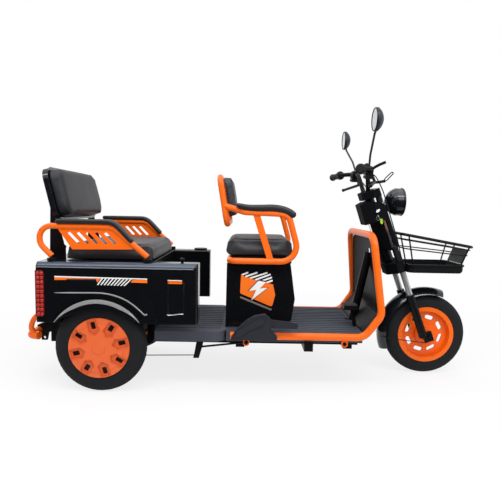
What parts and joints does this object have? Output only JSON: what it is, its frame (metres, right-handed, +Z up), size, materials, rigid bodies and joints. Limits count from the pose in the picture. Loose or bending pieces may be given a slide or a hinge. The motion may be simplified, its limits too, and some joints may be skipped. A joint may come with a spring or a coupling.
{
  "type": "electric passenger tricycle",
  "caption": "Three-wheeled electric passenger scooter with a driver's seat, rear box with a passenger bench, hooped leg shield, steered fork and wire basket.",
  "frame": {"origin": "on the ground below the middle of the overall length, on the centre plane", "axes": "+X forward, +Y to the rider's left, +Z up"},
  "size_m": [2.097, 0.76, 1.248],
  "materials": {
    "orange_paint": "gloss",
    "black_paint": "gloss",
    "black_steel": "satin",
    "black_plastic": "satin",
    "gloss_black": "gloss",
    "floor_plastic": "matte",
    "seat_leather": "satin",
    "pad_rubber": "matte",
    "grip_rubber": "matte",
    "tyre_rubber": "matte",
    "silver_steel": "satin",
    "spring_steel": "satin",
    "lamp_red": "gloss",
    "lamp_lens": "clear",
    "mirror_face": "polished",
    "battery_case": "matte",
    "cast_alloy": "satin"
  },
  "bodies": {
    "chassis": {"hoop_frame": "orange_paint", "chassis": "black_steel", "head_tube": "black_steel", "leg_shield": "black_plastic", "front_floor": "floor_plastic", "rear_floor": "floor_plastic", "seat_base": "black_paint", "battery": "battery_case", "seat_frame": "orange_paint", "driver_back_pad": "seat_leather", "arm_pads": "pad_rubber", "quarter_panels": "black_paint", "leg_panels": "black_paint", "rear_panel": "black_paint", "seat_box": "black_paint", "box_pan": "black_steel", "tail_lamps": "lamp_red", "passenger_arms": "orange_paint", "rail_feet": "black_steel", "passenger_cushion": "seat_leather", "back_shell": "gloss_black", "back_pad": "seat_leather", "back_brackets": "black_steel", "rear_bumper": "orange_paint", "bumper_bracket": "black_steel", "rear_axle": "cast_alloy", "leaf_springs": "spring_steel", "handbrake": "black_plastic", "brake_gear": "black_steel"},
    "seat_lid": {"seat_pan": "black_plastic", "driver_cushion": "seat_leather"},
    "steering": {"fork_yokes": "black_steel", "fork_tubes": "silver_steel", "fork_legs": "black_steel", "handlebar": "black_steel", "grips": "grip_rubber", "controls": "black_plastic", "mirrors": "gloss_black", "mirror_glass": "mirror_face", "head_shroud": "gloss_black", "headlamp": "gloss_black", "headlamp_lens": "lamp_lens", "basket": "black_steel", "basket_tray": "black_plastic", "front_mudguard": "black_plastic"},
    "front_wheel": {"front_tyre": "tyre_rubber", "front_rim": "orange_paint"},
    "rear_wheel_left": {"rear_tyre_left": "tyre_rubber", "rear_rim_left": "orange_paint"},
    "rear_wheel_right": {"rear_tyre_right": "tyre_rubber", "rear_rim_right": "orange_paint"}
  },
  "joints": [
    {"name": "steering", "type": "hinge", "parent": "chassis", "child": "steering", "pos_m": [0.6615, 0, 0.535], "axis": [-0.3443, 0, 0.9389], "range_deg": [-40, 40]},
    {"name": "front_wheel_spin", "type": "hinge", "parent": "steering", "child": "front_wheel", "pos_m": [0.8485, 0, 0.2], "axis": [0, 1, 0], "continuous": true},
    {"name": "rear_left_spin", "type": "hinge", "parent": "chassis", "child": "rear_wheel_left", "pos_m": [-0.6885, 0.315, 0.2], "axis": [0, 1, 0], "continuous": true},
    {"name": "rear_right_spin", "type": "hinge", "parent": "chassis", "child": "rear_wheel_right", "pos_m": [-0.6885, -0.315, 0.2], "axis": [0, 1, 0], "continuous": true},
    {"name": "seat_lid_hinge", "type": "hinge", "parent": "chassis", "child": "seat_lid", "pos_m": [0.1475, 0, 0.578], "axis": [0, 1, 0], "range_deg": [0, 70]}
  ]
}
